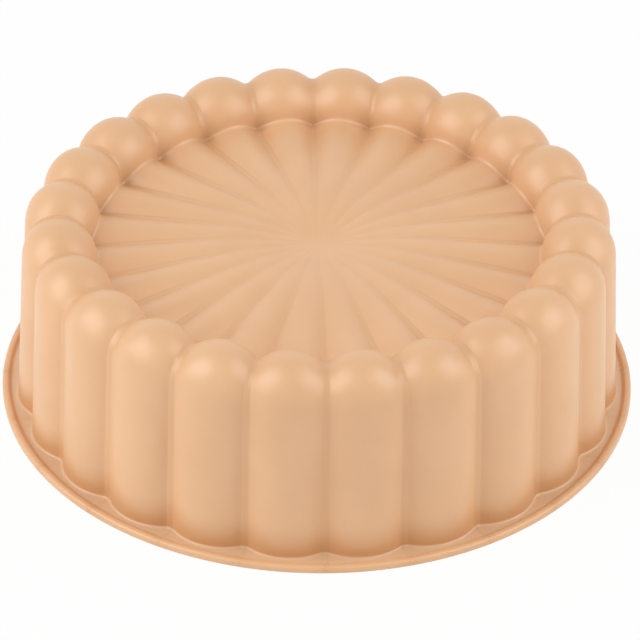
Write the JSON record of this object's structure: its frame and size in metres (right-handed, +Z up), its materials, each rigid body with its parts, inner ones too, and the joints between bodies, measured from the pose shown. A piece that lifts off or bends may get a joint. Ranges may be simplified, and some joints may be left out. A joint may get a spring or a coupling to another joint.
{
  "type": "silicone charlotte cake mould",
  "caption": "Round one-piece soft cake mould with fluted sides, a ring of ball-shaped lobes, a pleated centre plate and a beaded flange.",
  "frame": {"origin": "centre of the rim's flat lower face, on which the mould stands upside down", "axes": "+Z up along the mould's axis of rotational symmetry, from the rim to the ball tops; -Y towards the viewer of the picture, where a crease lies"},
  "size_m": [0.231, 0.231, 0.0745],
  "materials": {
    "silicone": "satin opaque silicone, light apricot beige"
  },
  "bodies": {
    "root": {"mould": "silicone"}
  },
  "joints": []
}
